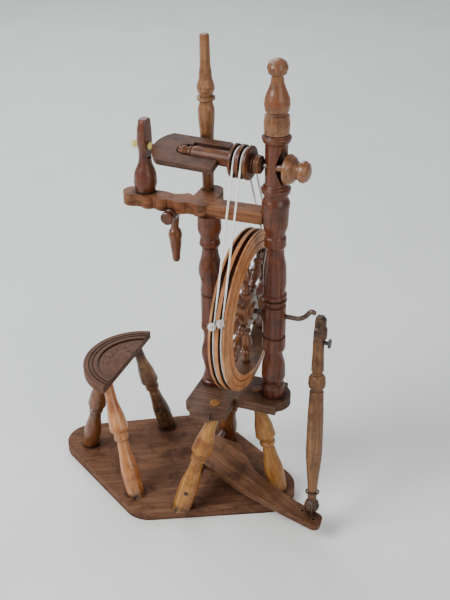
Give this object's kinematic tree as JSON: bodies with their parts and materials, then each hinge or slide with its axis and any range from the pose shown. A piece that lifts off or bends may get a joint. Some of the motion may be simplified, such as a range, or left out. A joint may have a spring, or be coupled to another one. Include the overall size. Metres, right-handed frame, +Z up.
{
  "type": "spinning wheel",
  "caption": "Miniature upright spinning wheel with flyer, distaff, drive cord and treadle, standing beside a half-round stool on a rounded lozenge board.",
  "frame": {"origin": "on the underside of the base board, straight below the axis of the second post", "axes": "+Z up, +X from the second post to the main post along the wheel's axle, +Y to the back, away from the long end of the stand's front arm"},
  "size_m": [0.1573, 0.0877, 0.2387],
  "materials": {
    "dark_wood": "satin, dark walnut stain, worn",
    "red_wood": "satin, reddish stain",
    "light_wood": "satin varnish over light wood",
    "brown_wood": "dry, brown stain",
    "wire": "dull, browned wire",
    "cord": "twisted cotton string",
    "yarn": "soft wool yarn"
  },
  "bodies": {
    "stand": {"base_board": "brown_wood", "bench": "dark_wood", "stand_leg_front": "light_wood", "stand_leg_right": "light_wood", "stand_leg_back": "red_wood", "main_post": "red_wood", "main_post_finial": "brown_wood", "second_post": "red_wood", "crossbar": "dark_wood", "cross_peg": "dark_wood", "pendant_drop": "brown_wood", "distaff": "brown_wood", "maiden": "red_wood", "maiden_bearing": "yarn", "drive_band": "cord", "band_knot": "cord", "stool_seat": "dark_wood", "stool_leg_left": "red_wood", "stool_leg_front": "light_wood", "stool_leg_back": "dark_wood"},
    "flyer": {"flyer": "dark_wood", "flyer_shaft": "wire"},
    "bobbin": {"bobbin": "red_wood"},
    "tension_knob": {"tension_knob": "brown_wood"},
    "drive_wheel": {"wheel_rim": "light_wood", "wheel_spokes": "red_wood", "wheel_hub": "dark_wood", "crank_axle": "wire"},
    "treadle": {"treadle_board": "red_wood", "treadle_bar": "dark_wood", "treadle_pin_front": "wire", "treadle_pin_back": "wire"},
    "footman": {"footman": "light_wood", "footman_nail": "wire", "footman_tie": "wire"}
  },
  "joints": [
    {"name": "drive_wheel_spin", "type": "hinge", "parent": "stand", "child": "drive_wheel", "pos_m": [0.0181, 0, 0.1105], "axis": [1, 0, 0], "continuous": true},
    {"name": "bobbin_spin", "type": "hinge", "parent": "stand", "child": "bobbin", "pos_m": [0, 0, 0.188], "axis": [0.996, -0.0896, 0], "continuous": true},
    {"name": "flyer_spin", "type": "hinge", "parent": "stand", "child": "flyer", "pos_m": [0, 0, 0.188], "axis": [0.996, -0.0896, 0], "continuous": true},
    {"name": "tension_knob_turn", "type": "hinge", "parent": "stand", "child": "tension_knob", "pos_m": [0, 0, 0.188], "axis": [0.996, -0.0896, 0], "range_deg": [-90, 90]},
    {"name": "treadle_hinge", "type": "hinge", "parent": "stand", "child": "treadle", "pos_m": [-0.0016, 0, 0.0167], "axis": [0, 1, 0], "range_deg": [0, 5]},
    {"name": "footman_link", "type": "hinge", "parent": "treadle", "child": "footman", "pos_m": [0.0614, -0.0226, 0.01624], "axis": [0, 1, 0], "range_deg": [-5, 0]}
  ],
  "couplings": [
    {"joint": "bobbin_spin", "follows": "drive_wheel_spin", "ratio": 6.0709},
    {"joint": "footman_link", "follows": "treadle_hinge", "ratio": -1}
  ]
}
